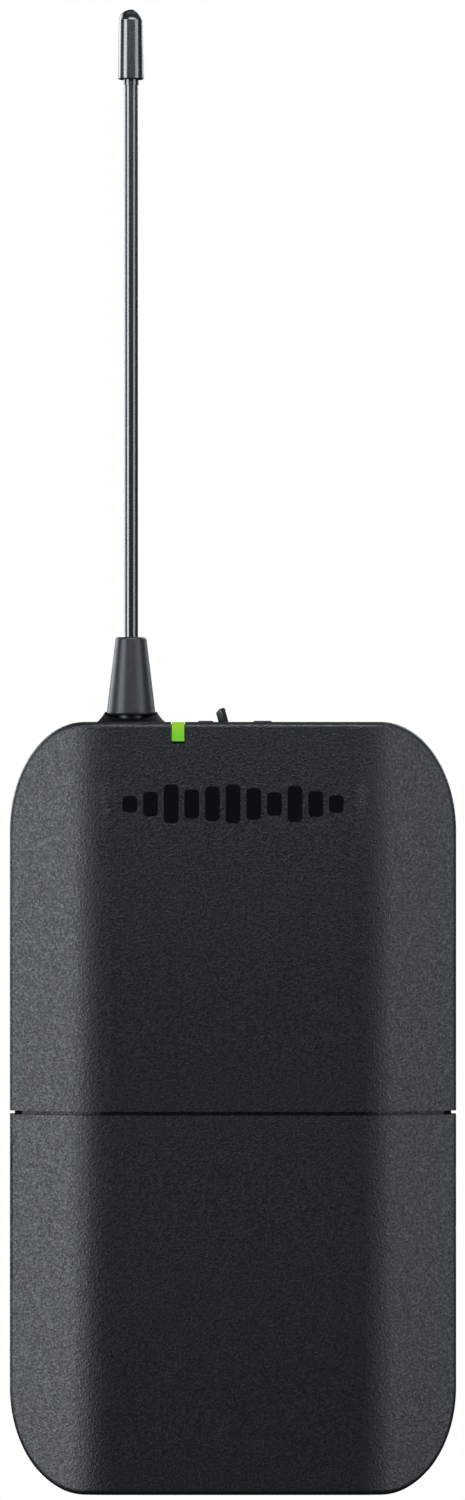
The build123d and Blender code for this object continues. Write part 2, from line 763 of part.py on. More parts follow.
def antenna_tip_cap():
    bore = whip_r + fit_gap
    base = whip_tip_z - cap_length
    shoulder = whip_tip_z - cap_dome
    outside = Polyline((0, base - cap_sleeve), (cap_sleeve_r, base - cap_sleeve), (cap_sleeve_r, base),
                       (cap_base_r - 0.2, base), (cap_base_r, base + 0.2), (cap_top_r, shoulder))
    ball_r = (cap_top_r ** 2 + cap_dome ** 2) / (2 * cap_dome)
    spread = degrees(asin(cap_top_r / ball_r))
    dome = CenterArc((0, whip_tip_z - ball_r), ball_r, 90 - spread, spread)
    middle = Line((0, whip_tip_z), (0, base - cap_sleeve))
    cap = turned(make_face([outside, dome, middle]), antenna_x, top_y)
    return cap - rod_z(antenna_x, top_y, (base - cap_sleeve, whip_tip_z - 2.3), bore)


def antenna_boot():
    bore = whip_r + fit_gap
    foot = plate_z - 0.1
    counter = ferrule_top
    points = [
        (bore, boot_top_z), (boot_top_r, boot_top_z), (boot_base_r, boot_base_z), (boot_stem_r, boot_base_z),
        (boot_stem_r, foot), (boot_barb_r, foot), (boot_stem_r, foot - boot_barb),
        (ferrule_r + fit_gap, foot - boot_barb), (ferrule_r + fit_gap, counter), (bore, counter),
    ]
    face = make_face(Polyline(*points, close=True))
    top_corner = face.vertices().sort_by_distance((boot_top_r, boot_top_z))[0]
    face = fillet(top_corner, 0.35)
    base_corner = face.vertices().sort_by_distance((boot_base_r, boot_base_z))[0]
    face = fillet(base_corner, 0.4)
    return turned(face, antenna_x, top_y)


def antenna_collar():
    inner = boot_base_r + 0.1
    rim = top_z + collar_rise
    knee = (collar_r + inner) / 2 - 0.07
    profile = make_face([
        Line((boot_stem_r + panel_gap, panel_z), (collar_r, panel_z)),
        Line((collar_r, panel_z), (collar_r, top_z + 0.05)),
        ThreePointArc((collar_r, top_z + 0.05), (knee, top_z + collar_rise / 2 + 0.04), (inner + 0.09, rim)),
        Line((inner + 0.09, rim), (inner, rim)),
        Line((inner, rim), (inner, panel_z + 0.4)),
        Line((inner, panel_z + 0.4), (boot_stem_r + panel_gap, panel_z + 0.4)),
        Line((boot_stem_r + panel_gap, panel_z + 0.4), (boot_stem_r + panel_gap, panel_z)),
    ])
    collar = turned(profile, antenna_x, top_y)
    low = top_z + collar_front_rise
    slope = degrees(asin((rim - low) / sqrt((rim - low) ** 2 + inner ** 2)))
    scoop = Pos(antenna_x, top_y - inner, low) * Rot(slope, 0, 0) * Pos(0, 0, 10) * Box(12, 60, 20)
    return collar - (scoop & block(around(antenna_x, 6), around(top_y, 6), (panel_z + 0.4, rim + 1)))


def antenna_ferrule():
    z = (ferrule_bottom, ferrule_top)
    tube = rod_z(antenna_x, top_y, z, ferrule_r) - rod_z(antenna_x, top_y, z, whip_r + fit_gap)
    tab = block(around(antenna_x, ferrule_r), (top_y - ferrule_r, main_y), (z[0] - 0.5, z[0]))
    leaf = block(around(antenna_x, ferrule_r), (main_y - 0.5, main_y), (main_top - 2.5, z[0] - 0.5))
    return tube + tab + leaf


# Boards and what is soldered to them.
def control_board():
    plate = block(control_x, control_y, (control_board_z, board_top))
    for x, y in post_places:
        plate -= rod_z(x, y, (control_board_z, board_top), small_screw_r + 0.15)
    return plate


def main_board():
    plate = block((-main_half, main_half), (main_y, main_y + board), (main_bottom, main_top))
    for x, z in main_board_holes():
        plate -= rod_y(x, (main_y, main_y + board), z, small_screw_r + 0.15)
    return plate


def rf_shield_can():
    x, z = (-13.0, 3.0), (main_bottom + 12.0, main_top - 8.0)
    y = (main_y - 2.6, main_y)
    can = fillet(block(x, y, z).edges().filter_by(Axis.Y), 0.8)
    inner = block((x[0] + 0.3, x[1] - 0.3), (y[0] + 0.3, y[1]), (z[0] + 0.3, z[1] - 0.3))
    can -= inner
    for row in range(int((z[1] - z[0]) / 4) - 2):
        for column in range(4):
            can -= rod_y(x[0] + 3.2 + 3.2 * column, (y[0] - 1, y[0] + 1), z[0] + 4 + 4 * row, 0.5)
    return can


def board_chips():
    """Integrated circuits, an electrolytic and the board-to-board header on the main board's front."""
    chips = [block(around(11.5, 3.5), (main_y - 1.2, main_y), around(socket_bottom - 15.8, 3.5)),
             block(around(9.5, 2.0), (main_y - 1.0, main_y), around(main_bottom + 13, 2.5)),
             block(around(-6.0, 2.5), (main_y - 1.4, main_y), around(main_bottom + 5, 2.0)),
             block(around(4.0, 1.6), (main_y - 1.1, main_y), around(main_bottom + 6, 1.6)),
             rod_y(15.0, (main_y - 4.5, main_y), main_bottom + 12, 2.0),
             block(around(0, 6.0), (main_y - 2.4, main_y), (main_top - 2.2, control_board_z))]
    return Compound(children=chips)


def screw_y(x, z, shank, head_y, tip_y, head_r, head):
    """Pan-head screw along Y, its head towards +Y if head_y is the larger, with a cross recess."""
    way = 1 if head_y > tip_y else -1
    end = head_y + way * head
    cap = rod_y(x, tuple(sorted((head_y, end))), z, head_r)
    outer_edge = cap.edges().sort_by(Axis.Y)[-1 if way > 0 else 0]
    cap = fillet(outer_edge, head * 0.4)
    cross = Pos(x, end, z) * (Box(head_r * 1.1, head, 0.5) + Box(0.5, head, head_r * 1.1))
    return cap - cross + rod_y(x, tuple(sorted((head_y, tip_y))), z, shank)


def housing_screws():
    seat = rear_y - screw_head - 0.2
    tip = front_y + 3.4 + wall
    return Compound(children=[screw_y(side * screw_x, z, screw_r, seat, tip, screw_head_r, screw_head)
                              for side in (-1, 1) for z in screw_z])


def board_screws():
    screws = [screw_y(x, z, small_screw_r, main_y, rear_y - wall - 0.2, small_head_r, small_head)
              for x, z in main_board_holes()]
    for x, y in post_places:
        screw = screw_y(0, 0, small_screw_r, 0, 4.5, small_head_r, small_head)
        screws.append(Pos(x, y, control_board_z) * Rot(90, 0, 0) * screw)
    return Compound(children=screws)


# Belt clip: one bent spring wire, its ends turned out into the lugs on the rear case.
def belt_clip():
    bow_y = clip_y + 3.9
    touch_y = rear_y + clip_clear + wire_r
    tail_y = touch_y + 2.9
    low = clip_z - clip_drop
    leg = [(clip_half, clip_y, clip_z), (clip_half, bow_y, clip_z - 8), (clip_half, bow_y - 0.3, low + 20),
           (clip_half, touch_y, low + 7.5), (clip_half, tail_y, low)]
    end = (lug_x[1] - 0.3, clip_y, clip_z)
    right = [end] + leg
    left = [(-x, y, z) for x, y, z in reversed(right)]
    path = FilletPolyline(*(right + left), radius=2.4)
    start = Plane(origin=end, z_dir=(-1, 0, 0))
    return sweep(start * Circle(wire_r), path=path)


def rear_label():
    y = (rear_y - label_recess, rear_y - label_recess + label_thickness)
    label = block(around(0, label_half), y, label_z)
    return fillet(label.edges().filter_by(Axis.Y), 1.3)


def door_hinge_pin():
    end = barrel_half + ear_gap + ear_length
    pin = rod_x((-end, end), hinge_y, barrel_r, hinge_pin_r)
    return chamfer(pin.edges().filter_by(GeomType.CIRCLE), 0.15)


save(front_cover(), "front_cover")
save(rear_case(), "rear_case")
save(battery_door(), "battery_door")
save(door_hinge_pin(), "door_hinge_pin")
save(top_panel(), "top_panel")
save(housing_screws(), "housing_screws")
save(rear_label(), "rear_label")
save(belt_clip(), "belt_clip")
for side, word in ((-1, "left"), (1, "right")):
    save(door_latch(side), f"door_latch_{word}")
    save(latch_spring(side), f"latch_spring_{word}")
    save(cell(side), f"battery_{word}")
    save(cell_spring(side), f"battery_spring_{word}")
save(battery_tray(), "battery_tray")
save(contact_bridge(), "contact_bridge")
save(contact_plates(), "contact_plates")
save(door_pad(), "door_pad")
save(power_switch_lever(), "power_switch_lever")
save(power_switch_body(), "power_switch_body")
save(status_light_pipe(), "status_light_pipe")
save(status_led(), "status_led")
save(display_window(), "display_window")
save(digit_display(), "digit_display")
save(channel_button(), "channel_button")
save(tact_plunger(), "tact_plunger")
save(channel_tact_switch(), "channel_tact_switch")
save(gain_trimmer_dial(), "gain_trimmer_dial")
save(gain_pot_body(), "gain_pot_body")
save(connector_shell(), "connector_shell")
save(connector_insert(), "connector_insert")
save(connector_pins(), "connector_pins")
save(connector_nut(), "connector_nut")
save(antenna_whip(), "antenna_whip")
save(antenna_tip_cap(), "antenna_tip_cap")
save(antenna_boot(), "antenna_boot")
save(antenna_collar(), "antenna_collar")
save(antenna_ferrule(), "antenna_ferrule")
save(control_board(), "control_board")
save(main_board(), "main_board")
save(rf_shield_can(), "rf_shield_can")
save(board_chips(), "board_chips")
save(board_screws(), "board_screws")
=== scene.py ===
import bpy
import numpy as np
from math import cos, pi, radians, sin, tau
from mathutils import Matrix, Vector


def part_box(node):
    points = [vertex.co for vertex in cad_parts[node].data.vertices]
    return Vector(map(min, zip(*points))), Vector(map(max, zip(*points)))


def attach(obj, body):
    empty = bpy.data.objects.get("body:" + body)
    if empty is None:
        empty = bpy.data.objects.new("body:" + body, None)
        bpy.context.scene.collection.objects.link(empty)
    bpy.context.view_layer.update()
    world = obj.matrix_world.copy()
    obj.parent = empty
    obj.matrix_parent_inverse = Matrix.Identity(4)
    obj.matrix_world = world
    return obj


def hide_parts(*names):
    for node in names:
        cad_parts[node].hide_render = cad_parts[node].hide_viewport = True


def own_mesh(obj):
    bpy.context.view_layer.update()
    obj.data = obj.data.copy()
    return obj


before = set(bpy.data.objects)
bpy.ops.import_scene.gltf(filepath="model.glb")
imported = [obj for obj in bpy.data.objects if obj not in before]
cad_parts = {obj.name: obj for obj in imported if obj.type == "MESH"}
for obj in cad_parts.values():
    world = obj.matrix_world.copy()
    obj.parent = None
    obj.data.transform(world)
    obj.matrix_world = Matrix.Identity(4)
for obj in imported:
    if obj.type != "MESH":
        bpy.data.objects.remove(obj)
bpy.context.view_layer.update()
mm = 0.001

# Camera: level with the middle of the pack and its antenna, square to the front face, through a long
# lens from far off, so that the sides stay parallel. The height in view is measured in a plane a little
# in front of the origin.
eye_distance, view_plane = 1.6, 1.5 * mm
view_x, view_z, view_height = -0.07 * mm, 106.48 * mm, 215.44 * mm
camera_data = bpy.data.cameras.new("studio_camera")
camera_data.sensor_width = 36.0
camera_data.lens = camera_data.sensor_width * (eye_distance - view_plane) / view_height
camera_data.clip_end = 20.0
camera = bpy.data.objects.new("studio_camera", camera_data)
camera.location = (view_x, -eye_distance, view_z)
camera.rotation_euler = (pi / 2, 0, 0)
bpy.context.collection.objects.link(camera)
bpy.context.scene.camera = camera
bpy.context.scene.view_settings.view_transform = "Standard"


# Studio: a white surround that lights the pack only dimly, softboxes left and right whose light the
# slanted sides mirror, one close in front and above, so that the shells darken downwards, a weak one
# overhead, and two behind for the rear case and the top panel.
def linear(colour):
    """An sRGB hex colour such as '26282A' as linear red, green, blue and alpha."""
    parts = [int(colour[k:k + 2], 16) / 255 for k in (0, 2, 4)]
    return tuple(c / 12.92 if c <= 0.04045 else ((c + 0.055) / 1.055) ** 2.4 for c in parts) + (1.0,)


def add(tree, kind, inputs=None, **settings):
    """Adds one node with its settings; each input is a value or the socket that feeds it."""
    node = tree.nodes.new("ShaderNode" + kind)
    for name, value in settings.items():
        setattr(node, name, value)
    for name, value in (inputs or {}).items():
        if isinstance(value, bpy.types.NodeSocket):
            tree.links.new(value, node.inputs[name])
        else:
            node.inputs[name].default_value = value
    return node


world = bpy.data.worlds.new("studio")
world.use_nodes = True
world.node_tree.nodes.clear()
bpy.context.scene.world = world
surround, cool_white = 0.02, linear("ECF5FC")
sky = world.node_tree
seen = add(sky, "LightPath")
white = add(sky, "Background", {"Color": (1, 1, 1, 1), "Strength": 1.0})
dim = add(sky, "Background", {"Color": cool_white, "Strength": surround})
both = add(sky, "MixShader", {0: seen.outputs["Is Camera Ray"], 1: dim.outputs[0], 2: white.outputs[0]})
add(sky, "OutputWorld", {"Surface": both.outputs[0]})


def softbox(name, place, target, size, power):
    """Rectangular area light at place, facing target, both in metres."""
    data = bpy.data.lights.new(name, "AREA")
    data.shape = "RECTANGLE"
    data.size, data.size_y = size
    data.energy = power
    data.color = cool_white[:3]
    lamp = bpy.data.objects.new(name, data)
    way = np.subtract(target, place)
    lamp.location = place
    tilt, heading = np.arccos(-way[2] / np.linalg.norm(way)), np.arctan2(way[1], way[0]) - pi / 2
    lamp.rotation_euler = (tilt, 0, heading)
    bpy.context.collection.objects.link(lamp)


middle = (0, 0, 60 * mm)
softbox("key_left", (-1.10, -0.80, 0.10), middle, (0.7, 0.9), 14.8)
softbox("fill_right", (1.10, -0.80, 0.10), middle, (0.7, 0.9), 7.1)
softbox("overhead", (0, 0.10, 1.15), middle, (1.0, 0.6), 0.7)
softbox("front_near", (0.04, -0.26, 0.33), (0, 0, 105 * mm), (0.36, 0.12), 1.12)
softbox("rear_left", (0.75, 1.00, 0.75), middle, (1.2, 1.0), 14.0)
softbox("rear_right", (-1.00, 0.80, 0.45), middle, (0.9, 0.9), 10.0)


# Floor: a small sheet of white paper, self-lit so that it fades into the white surround, and hidden from
# bounced light. It starts behind the battery door's hinge, because the door swings below it.
def mesh_piece(name, points, faces, smooth=True):
    """Object with the given points, in metres, and faces."""
    mesh = bpy.data.meshes.new(name)
    mesh.from_pydata(np.asarray(points, float).tolist(), [], faces)
    mesh.polygons.foreach_set("use_smooth", [smooth] * len(mesh.polygons))
    mesh.update()
    piece = bpy.data.objects.new(name, mesh)
    bpy.context.collection.objects.link(piece)
    return piece


def new_material(name):
    """Empty material: returns it with its node tree."""
    material = bpy.data.materials.new(name)
    material.use_nodes = True
    material.node_tree.nodes.clear()
    return material, material.node_tree


def surface(tree, inputs, bump=None):
    """Principled surface with the given sockets, and a bump if there is one."""
    shader = add(tree, "BsdfPrincipled", inputs)
    if bump is not None:
        tree.links.new(bump, shader.inputs["Normal"])
    add(tree, "OutputMaterial", {"Surface": shader.outputs[0]})


def grain(tree, size, detail=2.0, stretch=(1, 1, 1)):
    """Noise in object space whose lumps measure about size, in metres; stretch lengthens them."""
    place = add(tree, "TexCoord").outputs["Object"]
    scaled = add(tree, "Mapping", {"Vector": place, "Scale": tuple(1 / (size * s) for s in stretch)})
    return add(tree, "TexNoise", {"Vector": scaled.outputs[0], "Scale": 1.0, "Detail": detail}).outputs[0]


def between(tree, factor, low, high, start=0.0, end=1.0):
    """Runs a factor, from start to end, between two values."""
    return add(tree, "MapRange", {"Value": factor, "From Min": start, "From Max": end, "To Min": low,
                                  "To Max": high}).outputs[0]


floor_width, floor_depth, floor_front = 60 * mm, 24 * mm, 1.5 * mm
floor_drop, floor_points = 0.02 * mm, 96
turn = np.linspace(0, tau, floor_points, endpoint=False)
floor_edge = np.stack([floor_width * np.cos(turn), floor_front + floor_depth * (1 + np.sin(turn)),
                       np.full(floor_points, -floor_drop)], axis=1)
floor = mesh_piece("floor", floor_edge, [tuple(range(floor_points))], False)
floor_paper, tree = new_material("studio_paper")
surface(tree, {"Base Color": linear("F4EAE3"), "Roughness": between(tree, grain(tree, 2 * mm), 0.8, 0.95),
               "Specular IOR Level": 0.2, "Emission Color": (1, 1, 1, 1), "Emission Strength": 0.93})
floor.data.materials.append(floor_paper)
floor.visible_diffuse = floor.visible_glossy = False


# Rear case and front shells: three injection mouldings in black ABS. The tool is spark-eroded, which
# leaves fine pits about a third of a millimetre across that glitter softly where light grazes them.
def tint(tree, factor, first, second):
    """Blends two sRGB hex colours by factor."""
    mix = add(tree, "Mix", data_type="RGBA")
    tree.links.new(factor, mix.inputs[0])
    mix.inputs[6].default_value = linear(first)
    mix.inputs[7].default_value = linear(second)
    return mix.outputs[2]


def bumped(tree, height, depth, under=None):
    """Normal for a height from 0 to 1 that stands for depth metres, over another bump if there is one."""
    node = add(tree, "Bump", {"Height": height, "Strength": 1.0, "Distance": depth})
    if under is not None:
        tree.links.new(under, node.inputs["Normal"])
    return node.outputs[0]


def dress(material, *nodes):
    """Gives CAD nodes a material."""
    for node in nodes:
        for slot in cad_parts[node].material_slots:
            slot.material = material


spark_eroded_abs, tree = new_material("spark_eroded_abs")
pits = grain(tree, 0.34 * mm, 3.0)
fine = grain(tree, 0.17 * mm)
contrast = between(tree, pits, 0.0, 1.0, 0.36, 0.64)
relief = bumped(tree, fine, 0.012 * mm)
relief = bumped(tree, pits, 0.08 * mm, relief)
surface(tree, {"Base Color": tint(tree, contrast, "0C0D0E", "191A1C"),
               "Roughness": between(tree, contrast, 0.50, 0.26), "IOR": 1.5}, relief)
dress(spark_eroded_abs, "rear_case", "front_cover", "battery_door")


# Hinge pin: bright drawn steel, pushed through the door's barrel into the case's ears. Drawing leaves
# faint scratches along its length.
drawn_steel, tree = new_material("drawn_steel")
lines = grain(tree, 0.12 * mm, 2.0, (20, 1, 1))
surface(tree, {"Base Color": tint(tree, lines, "8E9296", "A9ADB0"), "Metallic": 1.0,
               "Roughness": between(tree, lines, 0.22, 0.34)}, bumped(tree, lines, 0.004 * mm))
dress(drawn_steel, "door_hinge_pin")


# Battery tray: black ABS cradle for two AA cells, heat-staked to the case. A raised plus and minus on
# its side rails show which way each cell goes.
def finish_piece(piece, material, body, slot, *replaced):
    """Gives a piece its material, its body and the CAD nodes that it stands for; slot is not used."""
    piece.data.materials.append(material)
    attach(piece, body)
    if replaced:
        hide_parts(*replaced)


def ring_faces(rings, sides):
    """Four-cornered faces between each ring of points and the next; a ring has sides points, and the faces
    look outwards where the points go round anticlockwise as seen from the last ring."""
    ring, side = np.meshgrid(np.arange(rings - 1), np.arange(sides), indexing="ij")
    here, beside = ring * sides + side, ring * sides + (side + 1) % sides
    return np.stack([here, beside, beside + sides, here + sides], axis=-1).reshape(-1, 4)


def end_faces(start, rings, sides):
    """The faces that close the first and the last ring of a stack whose points begin at start."""
    last = start + (rings - 1) * sides
    return [list(reversed(range(start, start + sides))), list(range(last, last + sides))]


def bars_mesh(name, bars):
    """Raised marks in one mesh. Each bar is a rounded rectangle given by its centre, two unit directions
    with a half length along each, the direction in which it stands up, its height and its corner radius.
    The outline is four quarter circles about the corners of a smaller rectangle; three copies of it, at
    the foot, at 0.7 of the height and, 3% smaller, at the top, make the wall, and a face closes each end."""
    quarter = np.linspace(0, pi / 2, 5)
    angle = (quarter + pi / 2 * np.arange(4)[:, None]).ravel()
    corner_u, corner_v = np.repeat([1, -1, -1, 1], 5), np.repeat([1, 1, -1, -1], 5)
    levels, sizes = np.array([0, 0.7, 1])[:, None, None], np.array([1, 1, 0.97])[:, None, None]
    rings, sides = len(levels), len(angle)
    points, faces = [], []
    for centre, along, across, half_long, half_wide, up, height, radius in bars:
        along, across, up = (np.array(v, float) for v in (along, across, up))
        across = across * np.sign(np.cross(along, across) @ up)
        u = corner_u * (half_long - radius) + radius * np.cos(angle)
        v = corner_v * (half_wide - radius) + radius * np.sin(angle)
        outline = u[:, None] * along + v[:, None] * across
        start = rings * sides * len(points)
        points.append((np.array(centre) + outline * sizes + up * height * levels).reshape(-1, 3))
        faces += (ring_faces(rings, sides) + start).tolist() + end_faces(start, rings, sides)
    return mesh_piece(name, np.concatenate(points), faces, False)


tray_abs, tree = new_material("tray_abs")
skin = grain(tree, 0.35 * mm, 3.0)
surface(tree, {"Base Color": tint(tree, skin, "131416", "1A1B1D"),
               "Roughness": between(tree, skin, 0.42, 0.55)}, bumped(tree, skin, 0.03 * mm))
dress(tray_abs, "battery_tray")
tray_low, tray_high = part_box("battery_tray")
rail_x = tray_high.x - 0.8 * mm
mark_foot, upper_z, lower_z = tray_low.y + 0.02 * mm, 50 * mm, 9 * mm
half_long, half_wide, rise, corner = 0.5 * mm, 0.13 * mm, 0.16 * mm, 0.05 * mm
stroke = (half_long, half_wide, (0, -1, 0), rise, corner)
polarity = []
for side, plus_z, minus_z in ((-1, upper_z, lower_z), (1, lower_z, upper_z)):
    spot = (side * rail_x, mark_foot)
    polarity.append(((*spot, minus_z), (1, 0, 0), (0, 0, 1), *stroke))
    polarity.append(((*spot, plus_z), (1, 0, 0), (0, 0, 1), *stroke))
    polarity.append(((*spot, plus_z), (0, 0, 1), (1, 0, 0), *stroke))
finish_piece(bars_mesh("polarity_marks", polarity), tray_abs, "root", "tray_black")


# Cell contacts: nickel-plated spring steel, bright under a faint haze. Flat strips lie under the nubs, and
# a cone-shaped coil of 0.44 mm wire presses on the flat end of each cell.
nickel_plate, tree = new_material("nickel_plate")
haze = grain(tree, 1.8 * mm, 3.0)
surface(tree, {"Base Color": tint(tree, haze, "B9B5AC", "D2CFC8"), "Metallic": 1.0,
               "Roughness": between(tree, haze, 0.18, 0.34)}, bumped(tree, grain(tree, 0.2 * mm), 0.003 * mm))
dress(nickel_plate, "contact_bridge", "contact_plates")


def coil(name, start, end, start_radius, end_radius, turns, wire_radius):
    """Wire wound about the line from start to end. The winding radius runs evenly from start_radius to
    end_radius, and the wire climbs along the line between its first and last half turn, which lie flat.
    Each point of the path has a ring of points round it, set out along the outward direction and the one
    at right angles to it and to the path."""
    start, end = np.array(start, float), np.array(end, float)
    axis = (end - start) / np.linalg.norm(end - start)
    first = np.cross(axis, (0, 1, 0))
    first /= np.linalg.norm(first)
    second = np.cross(axis, first)
    turn_steps, sides = 40, 10
    steps = int(turns * turn_steps)
    t = np.linspace(0, 1, steps + 1)[:, None]
    angle = tau * turns * t
    out = np.cos(angle) * first + np.sin(angle) * second
    ease = np.clip((t * turns - 0.5) / (turns - 1.0), 0, 1)
    centre = start + (end - start) * ease + out * (start_radius + (end_radius - start_radius) * t)
    ahead = np.gradient(centre, axis=0)
    ahead /= np.linalg.norm(ahead, axis=1)[:, None]
    across = np.cross(ahead, out)
    ring = (tau * np.arange(sides) / sides)[None, :, None]
    section = np.cos(ring) * out[:, None] + np.sin(ring) * across[:, None]
    points = (centre[:, None] + wire_radius * section).reshape(-1, 3)
    return mesh_piece(name, points, ring_faces(steps + 1, sides).tolist() + end_faces(0, steps + 1, sides))


wire, wide_radius, narrow_radius, cell_coil_turns = 0.22 * mm, 3.05 * mm, 1.65 * mm, 3.5
for word, flat_low in (("left", True), ("right", False)):
    low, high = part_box(f"battery_spring_{word}")
    wide_z, narrow_z = (low.z + wire, high.z - wire) if flat_low else (high.z - wire, low.z + wire)
    x, y = (low.x + high.x) / 2, (low.y + high.y) / 2
    spring = coil(f"cell_coil_{word}", (x, y, wide_z), (x, y, narrow_z), wide_radius, narrow_radius,
                  cell_coil_turns, wire)
    finish_piece(spring, nickel_plate, "root", "spring_nickel", f"battery_spring_{word}")


# AA cells: a drawn steel can in a shrunk plastic sleeve that folds over both ends, with a stepped nub on
# one end and a slightly sunk flat on the other. The sleeve is grey-blue, with a silvery band at the nub
# end. They stand side by side, one each way up.
cell_sleeve, tree = new_material("cell_sleeve")
scuff = grain(tree, 6 * mm, 4.0)
surface(tree, {"Base Color": tint(tree, scuff, "2C5066", "365C72"),
               "Roughness": between(tree, scuff, 0.22, 0.4),
               "Coat Weight": 0.3}, bumped(tree, grain(tree, 1.5 * mm), 0.02 * mm))
cell_band, tree = new_material("cell_band")
foil = grain(tree, 0.5 * mm, 3.0)
surface(tree, {"Base Color": tint(tree, foil, "B9BDC0", "CFD3D5"),
               "Roughness": between(tree, foil, 0.25, 0.38),
               "Metallic": 0.4, "Coat Weight": 0.3}, bumped(tree, foil, 0.004 * mm))
cell_steel, tree = new_material("cell_steel")
rings = grain(tree, 0.4 * mm, 3.0)
surface(tree, {"Base Color": tint(tree, rings, "A6A8A9", "C2C4C5"), "Metallic": 1.0,
               "Roughness": between(tree, rings, 0.25, 0.4)}, bumped(tree, rings, 0.006 * mm))


def turned(name, profile, x, y, sides):
    """Solid of revolution: each (radius, height) of the profile becomes a ring about the upright line at
    x, y, and a face closes each end."""
    radius, height = np.array(profile).T[:, :, None]
    ring = tau * np.arange(sides) / sides
    points = np.stack([x + radius * np.cos(ring), y + radius * np.sin(ring), height + 0 * ring], axis=-1)
    faces = ring_faces(len(profile), sides).tolist() + end_faces(0, len(profile), sides)
    return mesh_piece(name, points.reshape(-1, 3), faces)


nub = 1.0 * mm
band_reach = 11 * mm
cell_sides = 72
sleeve_row, band_row, nub_row = 4, 9, 13
for word, nub_up in (("left", True), ("right", False)):
    low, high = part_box(f"battery_{word}")
    x, y, radius = (low.x + high.x) / 2, (low.y + high.y) / 2, (high.x - low.x) / 2
    length = high.z - low.z - nub
    flat_end = [(0.01 * mm, 0.12 * mm), (3.6 * mm, 0.12 * mm), (4.2 * mm, 0), (5.6 * mm, 0)]
    sleeve = [(5.65 * mm, 0.10 * mm), (6.3 * mm, 0.10 * mm), (6.75 * mm, 0.22 * mm), (radius, 0.75 * mm),
              (radius, 1.5 * mm), (radius, length - band_reach), (radius, length - 0.7 * mm),
              (6.75 * mm, length - 0.2 * mm), (6.2 * mm, length - 0.04 * mm), (5.5 * mm, length - 0.05 * mm)]
    nub_end = [(5.45 * mm, length - 0.25 * mm), (2.95 * mm, length - 0.25 * mm), (2.7 * mm, length),
               (2.62 * mm, length + 0.8 * mm), (2.35 * mm, length + nub), (0.01 * mm, length + nub)]
    profile = flat_end + sleeve + nub_end
    rows = np.arange(len(profile) - 1)
    if nub_up:
        profile = [(r, low.z + z) for r, z in profile]
    else:
        profile = [(r, high.z - z) for r, z in reversed(profile)]
        rows = rows[::-1]
    piece = turned(f"aa_cell_{word}", profile, x, y, cell_sides)
    finish_piece(piece, cell_steel, "root", "cell_jacket", f"battery_{word}")
    piece.data.materials.append(cell_sleeve)
    piece.data.materials.append(cell_band)
    kinds = np.select([rows < sleeve_row, rows < band_row, rows < nub_row], [0, 1, 2], 0)
    kinds = np.append(np.repeat(kinds, cell_sides), (0, 0)).astype(np.int32)
    piece.data.polygons.foreach_set("material_index", kinds)


# Boards: two glass-epoxy boards under green solder mask, the tin-plated can that screens the radio, and
# the integrated circuits in black moulded epoxy.
solder_mask, tree = new_material("solder_mask")
weave = grain(tree, 0.5 * mm, 2.0, (1, 1, 6))
copper = between(tree, grain(tree, 3.2 * mm, 0.0), 0.0, 1.0, 0.48, 0.52)
surface(tree, {"Base Color": tint(tree, copper, "0E3B22", "1A5A34"),
               "Roughness": between(tree, weave, 0.28, 0.4), "Coat Weight": 0.4},
        bumped(tree, weave, 0.01 * mm))
dress(solder_mask, "control_board", "main_board")
tin_plate, tree = new_material("tin_plate")
rolled = grain(tree, 0.25 * mm, 2.0, (12, 1, 1))
surface(tree, {"Base Color": tint(tree, rolled, "B0B4B6", "C6C9CA"), "Metallic": 1.0,
               "Roughness": between(tree, rolled, 0.3, 0.45)}, bumped(tree, rolled, 0.004 * mm))
dress(tin_plate, "rf_shield_can")
moulded_epoxy, tree = new_material("moulded_epoxy")
filler = grain(tree, 0.12 * mm, 3.0)
surface(tree, {"Base Color": tint(tree, filler, "17181A", "232427"),
               "Roughness": between(tree, filler, 0.5, 0.65)}, bumped(tree, filler, 0.012 * mm))
dress(moulded_epoxy, "board_chips")


# Top panel: black ABS with a finer satin grain, clipped between cover and case. White pad-printed ticks
# ring the gain trimmer, and a stroke and a ring beside the toggle mean on and off.
satin_abs, tree = new_material("satin_abs")
satin = grain(tree, 0.22 * mm, 3.0)
surface(tree, {"Base Color": tint(tree, satin, "0E0F10", "17181A"),
               "Roughness": between(tree, satin, 0.34, 0.46)}, bumped(tree, satin, 0.04 * mm))
dress(satin_abs, "top_panel")
pad_print, tree = new_material("pad_print_white")
ink = grain(tree, 0.3 * mm, 3.0)
surface(tree, {"Base Color": tint(tree, ink, "C9CBCC", "DEDFE0"),
               "Roughness": between(tree, ink, 0.4, 0.55)}, bumped(tree, ink, 0.004 * mm))
panel_top = 110.2 * mm
dial_x, dial_y = 4.6 * mm, 3.2 * mm
sign_y, on_x, off_x, sign_reach, ring_bars = -7.2 * mm, -3.9 * mm, 4.2 * mm, 0.5 * mm, 20
tick_reach, tick_first, tick_step, tick_count = 2.25 * mm, 225, 27, 11
long_tick, short_tick, ring_piece = 0.3 * mm, 0.18 * mm, 0.1 * mm
stroke_half, ring_half, tick_half = 0.08 * mm, 0.07 * mm, 0.06 * mm
print_film = ((0, 0, 1), 0.02 * mm, 0.03 * mm)
marks = [((on_x, sign_y, panel_top), (0, 1, 0), (1, 0, 0), sign_reach, stroke_half, *print_film)]
for k in range(ring_bars):
    a = tau * k / ring_bars
    spot = (off_x + sign_reach * cos(a), sign_y + sign_reach * sin(a), panel_top)
    marks.append((spot, (-sin(a), cos(a), 0), (cos(a), sin(a), 0), ring_piece, ring_half, *print_film))
for k in range(tick_count):
    a = radians(tick_first - tick_step * k)
    spot = (dial_x + tick_reach * cos(a), dial_y + tick_reach * sin(a), panel_top)
    tick = long_tick if k % 5 == 0 else short_tick
    marks.append((spot, (cos(a), sin(a), 0), (-sin(a), cos(a), 0), tick, tick_half, *print_film))
